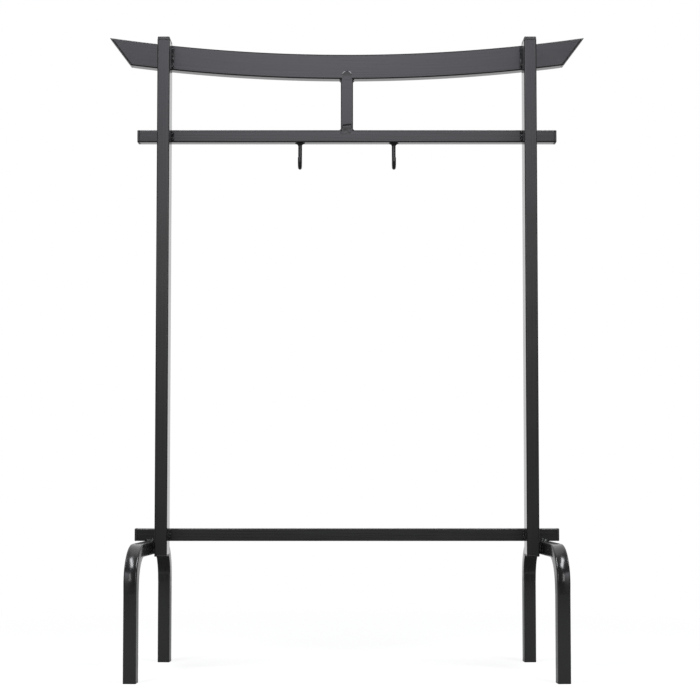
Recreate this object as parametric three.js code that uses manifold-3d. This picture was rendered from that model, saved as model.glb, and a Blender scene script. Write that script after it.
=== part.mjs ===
// Gong stand, in millimetres, +Z up. The origin is on the floor, under the middle of the stand.
//
// The stand is a torii-shaped frame of black powder-coated steel tube. Two rectangular posts stand in
// front. A curved beam, a hanging bar and a lower bar are welded across the backs of the posts. A short
// strut ties the beam to the hanging bar, and two rod hooks hang under that bar. The ends of the lower
// bar rest on two bent legs, which run front to back and toe out a little. Plastic plugs close the tubes.

import * as THREE from "three";
import { mergeVertices } from "three/addons/utils/BufferGeometryUtils.js";
import Module from "manifold-3d";

const wasm = await Module();
wasm.setup();

// Tube stock
const tubeSize = 25; // side of the square tube: bars, strut and legs, and the depth of the beam
const postWidth = 25; // side of a post that faces the front
const postDepth = 50; // side of a post that runs front to back
const beamHeight = 50; // tall side of the curved beam
const wall = 1.5; // steel thickness of every tube
const cornerRadius = 2.5; // outside corner of every tube

// Frame
const postSpan = 758; // over the outer faces of the posts
const hangingBarHeight = 1062.3; // floor to the underside of the hanging bar
const strutLength = 104.7; // hanging bar to the lowest point of the beam
const beamTipSpan = 964; // tip to tip along the beam's upper edge
const beamRise = 34.6; // how far the tips stand above the middle of that edge
const beamMitre = Math.PI / 4; // end cut of the beam, against a square cut
const endPlateThickness = 3; // plate that closes each cut end of the beam
const postDrop = 3; // top of a post tube below the beam's upper edge
const barReach = 15; // bar tube past the outer side of the leg

// Legs
const legHeight = 258; // floor to the underside of the lower bar
const frontReach = 207.5; // middle of the bar to the front of the front foot
const rearReach = 160; // middle of the bar to the back of the rear foot
const legBend = 62; // centre-line radius of the two bends
const bendSink = 1.5; // how far the outer wall of a bend is drawn in at its middle
const toeOut = THREE.MathUtils.degToRad(4.2); // turn of each leg, front foot outwards
const legSpace = 0.4; // outer face of a post to the inner side of a leg, at the middle of the bar

// Hooks
const hookSpacing = 190; // between the two hooks
const rodDiameter = 8; // round rod of the hooks
const hookDrop = 56; // underside of the bar to the lowest point of the hook
const hookBend = 12; // centre-line radius of the hook's cradle
const hookLimb = 23; // height of the front limb above the lowest point
const flareDiameter = 20; // puddle of weld round the root of the rod
const flareHeight = 5; // how far the weld runs down the rod

// Plastic plugs
const capThickness = 7; // cap on top of a post
const capEdge = 2.5; // rounding of that cap
const plugThickness = 5; // plug in the end of a bar
const footThickness = 3; // plug under a leg, which the stand rests on
const baseThickness = 3.5; // plug under a post
const plugEdge = 1.2; // rounding of the plugs
const spigotLength = 20; // part of a plug that goes into the tube
const spigotWall = 1.6; // thickness of its hollow core
const ribDepth = 1.8; // how far the gripping ribs stand out from the core
const ribThickness = 1.4; // each rib along the tube

// Welds
const weldLeg = 5; // how far a bead runs out along each face
const ripplePitch = 4; // from one ripple of a bead to the next
const weldSpace = 1; // room left between the bead on a post and the bead on the leg beside it

// Fits
const fitGap = 0.3; // space between pieces that do not meet on a level face
const overrun = 20; // how far a cutting block runs past what it cuts

// Counts
const cornerSegments = 1; // half the facets of a rounded corner
const bendSteps = 8; // facets along a quarter bend of a leg
const bendFlatSteps = 4; // facets across the outer and inner walls of a leg
const beamSteps = 24; // facets along the beam, an even number
const rodSegments = 6; // half the sides of the round rod
const cradleSteps = 10; // facets along a hook's half circle
const ribCount = 3; // ribs on a plug
const beadSides = 20; // sides of a full round bead, of which a quarter is kept
const roundSides = 24; // sides of the weld round a hook
const roundingSteps = 2; // facets across the rounding of a plug

// Ripple of a bead, as shares of its leg
const rippleShare = 0.1;
const wanderShare = 0.06;
const endShare = 0.55;

// The weld round a hook: shares of its radius past the rod, and of its height, from the bar down
const flareShares = [
  [1, 0],
  [0.86, 0.2],
  [0.42, 0.34],
  [0.2, 0.62],
];

// Finishes
const coatLook = { color: 0x3c3c40, roughness: 0.42, metalness: 0.2 };
const weldLook = { color: 0x2a2a2c, roughness: 0.5, metalness: 0.2 };
const plugLook = { color: 0x1d1d1f, roughness: 0.6, metalness: 0 };

// Heights and places that follow from the sizes above
const hangingBarTop = hangingBarHeight + tubeSize;
const beamBottom = hangingBarTop + strutLength;
const lowerEdgeRadius = edgeRadius(beamTipSpan, beamRise) + beamHeight;
const upperEdgeRadius = lowerEdgeRadius - beamHeight;
const beamCentre = beamBottom + lowerEdgeRadius;
const postOuter = postSpan / 2;
const postInner = postOuter - postWidth;
const postMiddle = postOuter - postWidth / 2;
const postBottom = legHeight - tubeSize;
const postTop = beamEdgeAt(postMiddle, upperEdgeRadius) - postDrop;
const legMiddle = postOuter + legSpace + tubeSize / 2;
const barHalf = legMiddle + tubeSize / 2 + barReach;
const barMiddle = tubeSize / 2;
const sides = [["left", -1], ["right", 1]];

// Radius of an arc from its span and its rise
function edgeRadius(span, rise) {
  return (span * span / 4 + rise * rise) / (2 * rise);
}

// Height of an edge of the beam at a distance from the middle of the stand
function beamEdgeAt(x, radius) {
  return beamCentre - Math.sqrt(radius * radius - x * x);
}

// Outline and sweep helpers

// A rectangle with rounded corners, whose left and right sides are split into equal steps
function roundedOutline(width, height, radius, Kind, sideSteps = 1) {
  const x = width / 2 - radius;
  const y = height / 2 - radius;
  const outline = new Kind();
  const splitSide = (sideX, startY) => {
    for (let i = 1; i < sideSteps; i += 1) {
      outline.lineTo(sideX, startY * (1 - 2 * i / sideSteps));
    }
  };
  outline.absarc(x, y, radius, 0, Math.PI / 2);
  outline.absarc(-x, y, radius, Math.PI / 2, Math.PI);
  splitSide(-width / 2, y);
  outline.absarc(-x, -y, radius, Math.PI, Math.PI * 3 / 2);
  outline.absarc(x, -y, radius, Math.PI * 3 / 2, Math.PI * 2);
  splitSide(width / 2, -y);
  outline.closePath();
  return outline;
}

function solidSection(width, height, sideSteps) {
  return roundedOutline(width, height, cornerRadius, THREE.Shape, sideSteps);
}

function boreSection(width, height, Kind, sideSteps) {
  const boreRadius = Math.max(cornerRadius - wall, wall / 2);
  return roundedOutline(width - 2 * wall, height - 2 * wall, boreRadius, Kind, sideSteps);
}

function tubeSection(width, height, sideSteps) {
  const section = solidSection(width, height, sideSteps);
  section.holes.push(boreSection(width, height, THREE.Path, sideSteps));
  return section;
}

// A path stepped only at its own stations, so a straight run is one step and a bend is a few
class SteppedPath extends THREE.Curve {
  constructor(stations) {
    super();
    this.stations = stations;
  }
  station(t) {
    return this.stations[Math.round(t * (this.stations.length - 1))];
  }
  getUtoTmapping(u) {
    return u;
  }
  getPoint(t, target = new THREE.Vector3()) {
    return target.copy(this.station(t).point);
  }
  getTangent(t, target = new THREE.Vector3()) {
    return target.copy(this.station(t).tangent);
  }
}

function sweep(section, stations, curveSegments) {
  const extrudePath = new SteppedPath(stations);
  return new THREE.ExtrudeGeometry(section, { extrudePath, steps: stations.length - 1, curveSegments });
}

// A straight tube along +Z from the origin
function straightTube(width, height, length) {
  const settings = { depth: length, bevelEnabled: false, curveSegments: cornerSegments };
  return new THREE.ExtrudeGeometry(tubeSection(width, height), settings);
}

// Stations round a circle in the YZ plane, from one angle to another, turning the way the angle grows
function arcStations(centreY, centreZ, radius, from, to, steps) {
  const turn = Math.sign(to - from);
  return Array.from({ length: steps + 1 }, (_, i) => {
    const angle = from + (to - from) * i / steps;
    const y = centreY + radius * Math.cos(angle);
    const z = centreZ + radius * Math.sin(angle);
    const point = new THREE.Vector3(0, y, z);
    const tangent = new THREE.Vector3(0, -turn * Math.sin(angle), turn * Math.cos(angle));
    return { point, tangent };
  });
}

// Solids for cutting and joining

function toSolid(geometry) {
  const bare = geometry.clone();
  bare.deleteAttribute("normal");
  bare.deleteAttribute("uv");
  const merged = mergeVertices(bare);
  const vertProperties = new Float32Array(merged.attributes.position.array);
  const triVerts = new Uint32Array(merged.index.array);
  return new wasm.Manifold(new wasm.Mesh({ numProp: 3, vertProperties, triVerts }));
}

function toGeometry(solid) {
  const mesh = solid.getMesh();
  const geometry = new THREE.BufferGeometry();
  geometry.setAttribute("position", new THREE.BufferAttribute(mesh.vertProperties, mesh.numProp));
  geometry.setIndex(new THREE.BufferAttribute(mesh.triVerts, 1));
  const faceted = geometry.toNonIndexed();
  faceted.computeVertexNormals();
  return faceted;
}

// A block centred on the Z axis, from one height to another
function centredBlock(width, height, bottom, top) {
  return new THREE.BoxGeometry(width, height, top - bottom).translate(0, 0, (top + bottom) / 2);
}

// Plugs: a rounded flange on a hollow ribbed spigot. The seat is at z = 0 and the flange is above it.

function plugFlange(width, height, thickness, edge) {
  const settings = {
    depth: thickness - edge,
    bevelThickness: edge,
    bevelSize: edge,
    bevelOffset: -edge,
    bevelSegments: roundingSteps,
    curveSegments: cornerSegments,
  };
  const rounded = toSolid(new THREE.ExtrudeGeometry(solidSection(width, height), settings));
  const keep = centredBlock(width + overrun, height + overrun, 0, thickness + overrun);
  return rounded.intersect(toSolid(keep));
}

function plugSpigot(width, height) {
  const ribWidth = width - 2 * wall - 2 * fitGap;
  const ribHeight = height - 2 * wall - 2 * fitGap;
  const coreWidth = ribWidth - 2 * ribDepth;
  const coreHeight = ribHeight - 2 * ribDepth;
  const hollowWidth = coreWidth - 2 * spigotWall;
  const hollowHeight = coreHeight - 2 * spigotWall;
  const ribPitch = spigotLength / (ribCount + 1);
  let spigot = toSolid(centredBlock(coreWidth, coreHeight, -spigotLength, 0));
  for (let i = 1; i <= ribCount; i += 1) {
    const z = -i * ribPitch - ribThickness / 2;
    const settings = { depth: ribThickness, bevelEnabled: false, curveSegments: cornerSegments };
    const outline = roundedOutline(ribWidth, ribHeight, wall, THREE.Shape);
    spigot = spigot.add(toSolid(new THREE.ExtrudeGeometry(outline, settings).translate(0, 0, z)));
  }
  const hollow = centredBlock(hollowWidth, hollowHeight, -spigotLength - overrun, 0);
  return spigot.subtract(toSolid(hollow));
}

function plug(width, height, thickness, edge) {
  return toGeometry(plugFlange(width, height, thickness, edge).add(plugSpigot(width, height)));
}

// Weld beads: a quarter of a rippled round rope, in the corner where two faces meet. The bead runs
// along +Y from the origin, and its flat faces lie on x = 0 and on z = 0.

function weldBead(length) {
  const rings = 2 * Math.max(2, Math.round(length / ripplePitch));
  const profile = [new THREE.Vector2(0, 0)];
  for (let i = 0; i <= rings; i += 1) {
    const y = length * i / rings;
    const ripple = rippleShare * Math.cos(Math.PI * i);
    const wander = wanderShare * Math.sin(2 * Math.PI * i / rings + i);
    const fullness = i === 0 || i === rings ? endShare : 1 + ripple + wander;
    profile.push(new THREE.Vector2(weldLeg * fullness, y));
  }
  profile.push(new THREE.Vector2(0, length));
  const rope = toSolid(new THREE.LatheGeometry(profile, beadSides));
  const reach = weldLeg + overrun;
  const corner = centredBlock(reach, length + 2 * overrun, 0, reach).translate(reach / 2, length / 2, 0);
  return toGeometry(rope.intersect(toSolid(corner)));
}

// The curved beam and its end plates

function beamStations() {
  const centreLine = lowerEdgeRadius - beamHeight / 2;
  const halfAngle = Math.asin((beamTipSpan / 2 + overrun) / centreLine);
  return Array.from({ length: beamSteps + 1 }, (_, i) => {
    const angle = halfAngle * (2 * i / beamSteps - 1);
    const x = centreLine * Math.sin(angle);
    const z = beamCentre - centreLine * Math.cos(angle);
    const point = new THREE.Vector3(x, 0, z);
    const tangent = new THREE.Vector3(Math.cos(angle), 0, Math.sin(angle));
    return { point, tangent };
  });
}

// A block whose inner face is the mitre plane of the right-hand tip, set back along the beam's end
function mitreBlock(setBack, thickness) {
  const tipAngle = Math.asin(beamTipSpan / 2 / upperEdgeRadius);
  const tipX = beamTipSpan / 2;
  const tipZ = beamEdgeAt(tipX, upperEdgeRadius);
  const reach = 4 * beamHeight;
  const block = new THREE.BoxGeometry(thickness, reach, reach);
  block.translate(thickness / 2 - setBack, 0, 0);
  block.rotateY(beamMitre - tipAngle);
  return block.translate(tipX, 0, tipZ);
}

function mirrored(solid) {
  return solid.mirror([1, 0, 0]);
}

function beamTube() {
  const outer = toSolid(sweep(solidSection(tubeSize, beamHeight), beamStations(), cornerSegments));
  const boreShape = boreSection(tubeSize, beamHeight, THREE.Shape);
  const bore = toSolid(sweep(boreShape, beamStations(), cornerSegments));
  const cut = toSolid(mitreBlock(endPlateThickness + fitGap, 2 * beamHeight));
  return toGeometry(outer.subtract(bore).subtract(cut).subtract(mirrored(cut)));
}

function beamEndPlate(sign) {
  const outer = toSolid(sweep(solidSection(tubeSize, beamHeight), beamStations(), cornerSegments));
  const slab = toSolid(mitreBlock(endPlateThickness, endPlateThickness));
  return toGeometry(outer.intersect(sign > 0 ? slab : mirrored(slab)));
}

// Draws in the outer wall of a leg's bends, most halfway round each bend and in the middle of the wall
function drawInBends(geometry, bends) {
  const position = geometry.attributes.position;
  const flatHalf = tubeSize / 2 - cornerRadius;
  for (let i = 0; i < position.count; i += 1) {
    const across = Math.max(0, 1 - (position.getX(i) / flatHalf) ** 2);
    for (const { centreY, centreZ, way } of bends) {
      const out = way * (position.getY(i) - centreY);
      const up = position.getZ(i) - centreZ;
      const radius = Math.hypot(out, up);
      if (out > 0 && up > 0 && radius > legBend) {
        const along = Math.sin(2 * Math.atan2(up, out));
        const share = 1 - bendSink * along * across / radius;
        position.setY(i, centreY + way * out * share);
        position.setZ(i, centreZ + up * share);
      }
    }
  }
  geometry.computeVertexNormals();
  return geometry;
}

// A leg: one tube bent into an arch. Its own origin is on the floor under the middle of the lower bar.
function legTube() {
  const top = legHeight - tubeSize / 2;
  const frontY = tubeSize / 2 - frontReach;
  const rearY = rearReach - tubeSize / 2;
  const up = new THREE.Vector3(0, 0, 1);
  const stations = [{ point: new THREE.Vector3(0, frontY, footThickness), tangent: up }];
  const bendZ = top - legBend;
  stations.push(...arcStations(frontY + legBend, bendZ, legBend, Math.PI, Math.PI / 2, bendSteps));
  stations.push(...arcStations(rearY - legBend, bendZ, legBend, Math.PI / 2, 0, bendSteps));
  stations.push({ point: new THREE.Vector3(0, rearY, footThickness), tangent: up.clone().negate() });
  const tube = sweep(tubeSection(tubeSize, tubeSize, bendFlatSteps), stations, cornerSegments);
  return drawInBends(tube, [
    { centreY: frontY + legBend, centreZ: bendZ, way: -1 },
    { centreY: rearY - legBend, centreZ: bendZ, way: 1 },
  ]);
}

// A hook: a rod welded under the bar, bent forwards into a cradle. Its own origin is at its root.

function hookRod() {
  const centreZ = hookBend + rodDiameter / 2 - hookDrop;
  const down = new THREE.Vector3(0, 0, -1);
  const stations = [{ point: new THREE.Vector3(), tangent: down }];
  stations.push(...arcStations(-hookBend, centreZ, hookBend, 0, -Math.PI, cradleSteps));
  const tip = new THREE.Vector3(0, -2 * hookBend, hookLimb - hookDrop);
  stations.push({ point: tip, tangent: down.clone().negate() });
  const circle = new THREE.Shape().absarc(0, 0, rodDiameter / 2, 0, 2 * Math.PI);
  return toSolid(sweep(circle, stations, rodSegments));
}

function hookFlare() {
  const rod = rodDiameter / 2;
  const past = flareDiameter / 2 - rod;
  const profile = flareShares.map(([out, down]) => new THREE.Vector2(rod + past * out, -flareHeight * down));
  profile.push(new THREE.Vector2(rod, -flareHeight), new THREE.Vector2(0, -flareHeight));
  profile.unshift(new THREE.Vector2(0, 0));
  const lathe = new THREE.LatheGeometry(profile.reverse(), roundSides);
  return toSolid(lathe.rotateX(Math.PI / 2));
}

// Assembly. In this group the backs of the posts and the fronts of the bars meet on y = 0.

const stand = new THREE.Group();
stand.name = "gong_stand";
stand.position.y = (frontReach - rearReach) / 2 * Math.cos(toeOut) - barMiddle;

function addPiece(parent, name, geometry, look, x, y, z) {
  const mesh = new THREE.Mesh(geometry, new THREE.MeshStandardMaterial(look));
  mesh.name = name;
  mesh.position.set(x, y, z);
  parent.add(mesh);
  return mesh;
}

// A bead in a corner: it lies along the faces in the directions out and up, centred on its length
function addBead(name, length, corner, out, up) {
  const along = new THREE.Vector3().crossVectors(up, out);
  const start = corner.clone().addScaledVector(along, -length / 2);
  const bead = addPiece(stand, name, weldBead(length), weldLook, start.x, start.y, start.z);
  bead.quaternion.setFromRotationMatrix(new THREE.Matrix4().makeBasis(out, along, up));
}

const forward = new THREE.Vector3(0, -1, 0);
const backward = new THREE.Vector3(0, 1, 0);
const upward = new THREE.Vector3(0, 0, 1);
const downward = new THREE.Vector3(0, 0, -1);
const sideways = (sign) => new THREE.Vector3(sign, 0, 0);

// Posts with their caps and base plugs
for (const [side, sign] of sides) {
  const x = sign * postMiddle;
  const y = -postDepth / 2;
  const tube = straightTube(postWidth, postDepth, postTop - postBottom);
  addPiece(stand, side + "_post", tube, coatLook, x, y, postBottom);
  const cap = plug(postWidth, postDepth, capThickness, capEdge);
  addPiece(stand, side + "_post_cap", cap, plugLook, x, y, postTop);
  const base = plug(postWidth, postDepth, baseThickness, plugEdge);
  addPiece(stand, side + "_post_base_plug", base, plugLook, x, y, postBottom).rotation.x = Math.PI;
}

// Curved beam, its end plates and the strut below it
addPiece(stand, "curved_beam", beamTube(), coatLook, 0, barMiddle, 0);
for (const [side, sign] of sides) {
  addPiece(stand, "curved_beam_" + side + "_end_plate", beamEndPlate(sign), coatLook, 0, barMiddle, 0);
}
const strut = straightTube(tubeSize, tubeSize, strutLength);
addPiece(stand, "centre_strut", strut, coatLook, 0, barMiddle, hangingBarTop);

// Hanging bar and lower bar with their end plugs
for (const [name, height] of [["hanging_bar", hangingBarHeight], ["lower_bar", legHeight]]) {
  const z = height + tubeSize / 2;
  const tube = straightTube(tubeSize, tubeSize, 2 * barHalf);
  addPiece(stand, name, tube, coatLook, -barHalf, barMiddle, z).rotation.y = Math.PI / 2;
  for (const [side, sign] of sides) {
    const end = plug(tubeSize, tubeSize, plugThickness, plugEdge);
    const mesh = addPiece(stand, name + "_" + side + "_plug", end, plugLook, sign * barHalf, barMiddle, z);
    mesh.rotation.y = sign * Math.PI / 2;
  }
}

// Legs with their foot plugs
for (const [side, sign] of sides) {
  const leg = new THREE.Group();
  leg.position.set(sign * legMiddle, barMiddle, 0);
  leg.rotation.z = sign * toeOut;
  stand.add(leg);
  addPiece(leg, side + "_leg", legTube(), coatLook, 0, 0, 0);
  for (const [end, y] of [["front", tubeSize / 2 - frontReach], ["rear", rearReach - tubeSize / 2]]) {
    const foot = plug(tubeSize, tubeSize, footThickness, plugEdge);
    addPiece(leg, side + "_" + end + "_foot", foot, plugLook, 0, y, footThickness).rotation.x = Math.PI;
  }
}

// Hooks under the hanging bar
for (const [side, sign] of sides) {
  const hook = toGeometry(hookRod().add(hookFlare()));
  addPiece(stand, side + "_hook", hook, coatLook, sign * hookSpacing / 2, barMiddle, hangingBarHeight);
}

// Beads that hold the posts to the bars and to the beam
for (const [side, sign] of sides) {
  for (const [edge, x, outSign] of [["outer", postOuter, 1], ["inner", postInner, -1]]) {
    const out = sideways(sign * outSign);
    const addPostBead = (rail, bottom, top) => {
      const corner = new THREE.Vector3(sign * x, 0, (bottom + top) / 2);
      addBead(side + "_post_" + rail + "_" + edge + "_weld", top - bottom, corner, out, forward);
    };
    const beadEdge = x + outSign * weldLeg;
    const lowest = Math.max(beamEdgeAt(beadEdge, lowerEdgeRadius), beamEdgeAt(x, lowerEdgeRadius));
    addPostBead("beam", lowest + cornerRadius, postTop - cornerRadius);
    addPostBead("hanging_bar", hangingBarHeight + cornerRadius / 2, hangingBarTop - cornerRadius / 2);
    addPostBead("lower_bar", legHeight + cornerRadius / 2, legHeight + tubeSize - cornerRadius / 2);
  }
}

// Beads at the two ends of the strut
for (const [side, sign] of sides) {
  for (const [end, z, along] of [["top", beamBottom, downward], ["bottom", hangingBarTop, upward]]) {
    const corner = new THREE.Vector3(sign * tubeSize / 2, barMiddle, z);
    const length = tubeSize - cornerRadius;
    addBead("strut_" + end + "_" + side + "_weld", length, corner, sideways(sign), along);
  }
}

// Beads that hold the lower bar to the tops of the legs. The front one stays clear of the post's bead.
for (const [side, sign] of sides) {
  const reach = tubeSize / 2 - cornerRadius;
  const clearOfPost = postOuter + weldLeg + weldSpace;
  for (const [end, y, out, limit] of [["front", 0, forward, clearOfPost], ["rear", tubeSize, backward, 0]]) {
    const middle = legMiddle + (barMiddle - y) * Math.tan(toeOut);
    const inner = Math.max(middle - reach, limit);
    const outer = middle + reach;
    const corner = new THREE.Vector3(sign * (inner + outer) / 2, y, legHeight);
    addBead(side + "_leg_" + end + "_weld", outer - inner, corner, out, upward);
  }
}

export default stand;
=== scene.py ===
# %% [markdown]
# A welded steel stand, dressed for its picture.
#
# The stand is built from square and rectangular steel tube, bent, mitred and welded, and then coated
# with black powder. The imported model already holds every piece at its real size. This lesson gives each
# piece the surface that a camera sees: rounded tube corners, plugs with moulded edges, bends whose outer
# wall is drawn in, uneven weld beads, and a coat with a fine orange peel.
#
# Blender works in metres here, +Z is up, and the front of the stand looks towards -Y.

import math

import bpy
from mathutils import Matrix, Vector, noise


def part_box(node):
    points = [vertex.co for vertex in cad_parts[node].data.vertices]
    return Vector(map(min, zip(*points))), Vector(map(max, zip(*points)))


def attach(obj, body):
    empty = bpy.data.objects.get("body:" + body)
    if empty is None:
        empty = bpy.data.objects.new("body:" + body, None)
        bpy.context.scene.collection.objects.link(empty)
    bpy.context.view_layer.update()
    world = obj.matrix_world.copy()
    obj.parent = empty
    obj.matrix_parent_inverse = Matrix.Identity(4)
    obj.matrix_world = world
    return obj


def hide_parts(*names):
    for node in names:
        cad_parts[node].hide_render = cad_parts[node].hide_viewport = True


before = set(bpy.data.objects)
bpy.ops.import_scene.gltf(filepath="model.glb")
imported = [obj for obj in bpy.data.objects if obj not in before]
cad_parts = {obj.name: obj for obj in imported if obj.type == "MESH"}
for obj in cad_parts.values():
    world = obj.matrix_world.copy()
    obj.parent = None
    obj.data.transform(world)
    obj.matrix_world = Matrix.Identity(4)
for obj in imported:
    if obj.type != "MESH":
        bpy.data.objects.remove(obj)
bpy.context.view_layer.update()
MM = 0.001
SIDES = (("left", -1), ("right", 1))

# %% [markdown]
# The camera comes first, because everything else is judged through it. A product shot like this one is
# taken from far away with a long lens, so that the posts stay nearly parallel. The focal length, the
# distance and the height were worked out from the visible depth of the posts, bars and legs. A small
# shift of the lens frames the stand without tipping the camera further.

# %% Camera
photo_side = 700
focal_pixels = 1604
sensor_width = 36
camera_distance = 3.2047
camera_height = 0.3991
camera_pitch = math.radians(3)
lens_shift = (0.0044, 0.0518)


def place_object(name, data):
    """Puts a mesh, lamp or camera in the scene as an object."""
    made = bpy.data.objects.new(name, data)
    bpy.context.scene.collection.objects.link(made)
    return made


camera_data = bpy.data.cameras.new("camera")
camera_data.sensor_width = sensor_width
camera_data.lens = focal_pixels * sensor_width / photo_side
camera_data.shift_x, camera_data.shift_y = lens_shift
camera = place_object("camera", camera_data)
camera.location = (0, -camera_distance, camera_height)
camera.rotation_euler = (math.pi / 2 + camera_pitch, 0, 0)
bpy.context.scene.camera = camera
bpy.context.scene.view_settings.view_transform = "Standard"
print("lens in mm:", round(camera_data.lens, 1))

# %% [markdown]
# Materials and the studio are node trees. A few small helpers keep the code that builds them short. They
# all go through feed, which sets an input from a number and links it where it gets another node's socket.
# A Mix node has its colours at inputs 6 and 7, after those for numbers, and the mixed one at output 2. A
# group is used where several finishes share an effect, so that each can place it with its own values.

# %% Helpers for node trees
WHITE = (1, 1, 1, 1)
MIX_COLOURS = (6, 7)
MIX_RESULT = 2


def empty_tree(owner):
    """The node tree of a world, lamp or material, with nothing in it."""
    owner.use_nodes = True
    owner.node_tree.nodes.clear()
    return owner.node_tree


def feed(tree, node, values):
    """Fills inputs of a node, by name or number: a socket is linked, and anything else is set."""
    for place, value in values.items():
        if isinstance(value, bpy.types.NodeSocket):
            tree.links.new(value, node.inputs[place])
        else:
            node.inputs[place].default_value = value


def add_node(tree, kind, values=None, **settings):
    """Adds a node, sets its properties and feeds its inputs."""
    made = tree.nodes.new(kind)
    for name, value in settings.items():
        setattr(made, name, value)
    feed(tree, made, values or {})
    return made


def calculate(tree, operation, *values, clamp=False):
    """A Math node over sockets and plain numbers. Returns its output."""
    made = add_node(tree, "ShaderNodeMath", dict(enumerate(values)), operation=operation, use_clamp=clamp)
    return made.outputs[0]


def remap(tree, value, low, high, to_low=0.0, to_high=1.0):
    """A smooth step from low to high, given out between two other values."""
    values = {0: value, 1: low, 2: high, 3: to_low, 4: to_high}
    return add_node(tree, "ShaderNodeMapRange", values, interpolation_type="SMOOTHSTEP").outputs[0]


def tint(tree, first, second, mask):
    """A colour that goes from one to another with a mask. Each colour is three numbers or a socket."""
    made = add_node(tree, "ShaderNodeMix", {0: mask}, data_type="RGBA")
    for place, colour in zip(MIX_COLOURS, (first, second)):
        feed(tree, made, {place: colour if isinstance(colour, bpy.types.NodeSocket) else (*colour, 1)})
    return made.outputs[MIX_RESULT]


def own_place(tree):
    """Coordinates in metres that stay with the object."""
    return add_node(tree, "ShaderNodeTexCoord").outputs["Object"]


def texture_noise(tree, coordinates, scale, detail):
    """Noise from 0 to 1 over a set of coordinates. The scale is a number or a socket, per metre."""
    values = {"Vector": coordinates, "Scale": scale, "Detail": detail}
    return add_node(tree, "ShaderNodeTexNoise", values).outputs["Fac"]


# %% Helpers for node groups
def start_group(name, inputs):
    """A node group with inputs from a dict of names and values. Returns its tree and the inputs' sockets."""
    tree = bpy.data.node_groups.new(name, "ShaderNodeTree")
    for label, value in inputs.items():
        kind = "NodeSocketVector" if isinstance(value, tuple) else "NodeSocketFloat"
        tree.interface.new_socket(label, in_out="INPUT", socket_type=kind).default_value = value
    return tree, tree.nodes.new("NodeGroupInput").outputs


def finish_group(tree, values):
    """Gives a group its outputs, which are all single values. Returns the group."""
    for label in values:
        tree.interface.new_socket(label, in_out="OUTPUT", socket_type="NodeSocketFloat")
    add_node(tree, "NodeGroupOutput", values)
    print(tree.name, "nodes:", len(tree.nodes))
    return tree


def use_group(tree, group, values):
    """Places a group in a material, feeds its inputs and returns its outputs."""
    return add_node(tree, "ShaderNodeGroup", values, node_tree=group).outputs


# %% [markdown]
# A black object shows little of its own colour. What the eye reads is the studio, mirrored weakly in the
# coat. So the studio is built like a real one: a white backdrop behind the stand and overhead, dark walls
# at the sides and in front, and softboxes. The world stands for the backdrop and the walls. The camera
# sees it white everywhere. Mirror rays see white only where the backdrop is, and dim walls elsewhere,
# which gives the tubes their bright flanks and dark edges.

# %% World: backdrop and studio walls
wall_colour = (0.98, 0.985, 1.0, 1)
ambient_strength = 0.25
wall_strength = 0.06
backdrop_rise_shares = (0.0, 0.35)
backdrop_side_shares = (0.7, 0.95)
floor_lean_share = 1.3

world = bpy.data.worlds.new("studio")
bpy.context.scene.world = world
sky = empty_tree(world)
rays = add_node(sky, "ShaderNodeLightPath").outputs
direction = add_node(sky, "ShaderNodeTexCoord").outputs["Generated"]
split = add_node(sky, "ShaderNodeSeparateXYZ", {0: direction}).outputs
below = calculate(sky, "MINIMUM", split["Z"], 0.0)
leaning = calculate(sky, "MULTIPLY_ADD", below, floor_lean_share, split["Y"])
in_width = remap(sky, calculate(sky, "ABSOLUTE", split["X"]), *backdrop_side_shares, 1.0, 0.0)
backdrop = calculate(sky, "MULTIPLY", remap(sky, leaning, *backdrop_rise_shares), in_width)
mirrored = calculate(sky, "MULTIPLY", rays["Is Glossy Ray"], backdrop)
seen = calculate(sky, "ADD", rays["Is Camera Ray"], rays["Is Transmission Ray"])
seen_white = calculate(sky, "ADD", seen, mirrored, clamp=True)
dimming = wall_strength - ambient_strength
dim_light = calculate(sky, "MULTIPLY_ADD", rays["Is Glossy Ray"], dimming, ambient_strength)
walls = add_node(sky, "ShaderNodeBackground", {"Color": wall_colour, "Strength": dim_light}).outputs[0]
white = add_node(sky, "ShaderNodeBackground", {"Color": WHITE, "Strength": 1.0}).outputs[0]
blend = add_node(sky, "ShaderNodeMixShader", {0: seen_white, 1: walls, 2: white})
add_node(sky, "ShaderNodeOutputWorld", {"Surface": blend.outputs[0]})
print("world nodes:", len(sky.nodes))

# %% [markdown]
# Softboxes light the stand. On each side hang two narrow ones, one high overhead and one further
# forward. They come in pairs because the legs turn outwards, and so each bend mirrors its own side of the
# studio as bright streaks. An area lamp is given by the light that leaves each square metre, so its power
# follows from its size.

# %% Softboxes at the sides
bend_place = (0.41, -0.17, 0.22)
side_softboxes = {
    "overhead": {"place": (1.06, -1.15, 2.8), "size": (0.7, 1.6), "glow": 16.0, "colour": (0.95, 0.97, 1.0)},
    "forward": {"place": (1.5, -3.8, 1.75), "size": (0.45, 1.5), "glow": 5.5, "colour": (1, 1, 1)},
}


def softbox(name, sign, place, target, size, glow, colour):
    """An area lamp that faces a target, mirrored to the left where the sign is -1. Glow is how bright its
    face looks, where 1 is white."""
    place, target = (Vector((sign * x, y, z)) for x, y, z in (place, target))
    lamp = bpy.data.lights.new(name, "AREA")
    lamp.shape = "RECTANGLE"
    lamp.size, lamp.size_y = size
    lamp.energy = glow * size[0] * size[1] * math.pi
    lamp.color = colour
    made = place_object(name, lamp)
    made.location = place
    made.rotation_euler = (target - place).to_track_quat("-Z", "Y").to_euler()
    print(name, "power in watts:", round(lamp.energy, 1))
    return lamp


for side, sign in SIDES:
    for kind, values in side_softboxes.items():
        softbox(f"{side}_{kind}_softbox", sign, target=bend_place, **values)

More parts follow.
